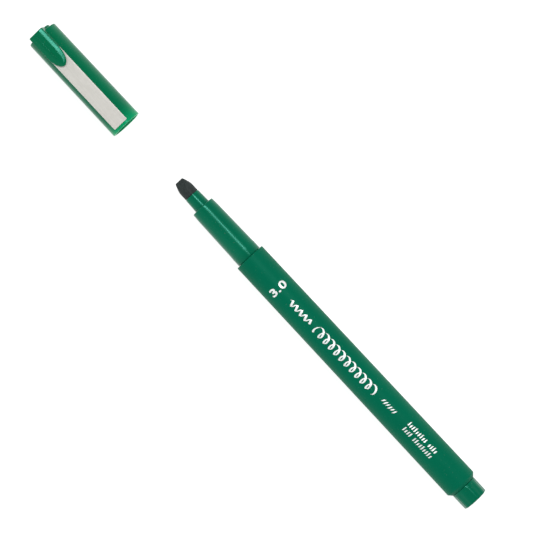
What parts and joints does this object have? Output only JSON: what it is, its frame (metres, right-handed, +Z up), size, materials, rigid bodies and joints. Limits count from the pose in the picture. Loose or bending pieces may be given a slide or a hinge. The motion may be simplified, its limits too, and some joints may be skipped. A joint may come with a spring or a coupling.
{
  "type": "calligraphy marker",
  "caption": "Slim broad-edge felt marker with a push-on cap, a sprung pocket clip and a fibre ink reservoir, shown with its cap pulled off in line.",
  "frame": {"origin": "on the table under the middle of the whole length, with the cap pulled off in line with the nib", "axes": "+X along the marker's axis from the cap and the nib towards the tail, +Z up from the table"},
  "size_m": [0.1968, 0.0106, 0.0124],
  "materials": {
    "barrel_green": "satin",
    "gloss_green": "gloss",
    "nib_felt": "dense felt",
    "ink_fibre": "fibre",
    "clear_film": "clear film",
    "natural_plastic": "natural",
    "clip_steel": "satin"
  },
  "bodies": {
    "pen": {"barrel": "barrel_green", "front_section": "gloss_green", "nib_holder": "gloss_green", "chisel_nib": "nib_felt", "ink_reservoir": "ink_fibre", "reservoir_film": "clear_film", "tail_plug": "gloss_green"},
    "liner": {"cap_liner": "natural_plastic"},
    "cap": {"cap_shell": "gloss_green", "cap_crown": "gloss_green"},
    "clip": {"pocket_clip": "clip_steel"}
  },
  "joints": [
    {"name": "cap_slide", "type": "slide", "parent": "pen", "child": "liner", "axis": [1, 0, 0], "range_m": [0, 0.0555]},
    {"name": "cap_turn", "type": "hinge", "parent": "liner", "child": "cap", "pos_m": [-0.0593, 0, 0.00532], "axis": [1, 0, 0], "continuous": true},
    {"name": "clip_flex", "type": "hinge", "parent": "cap", "child": "clip", "pos_m": [-0.0967, -0.0011, 0.01071], "axis": [0, -0.9799, -0.1994], "range_deg": [0, 3], "stiffness_Nm_per_rad": 2}
  ]
}
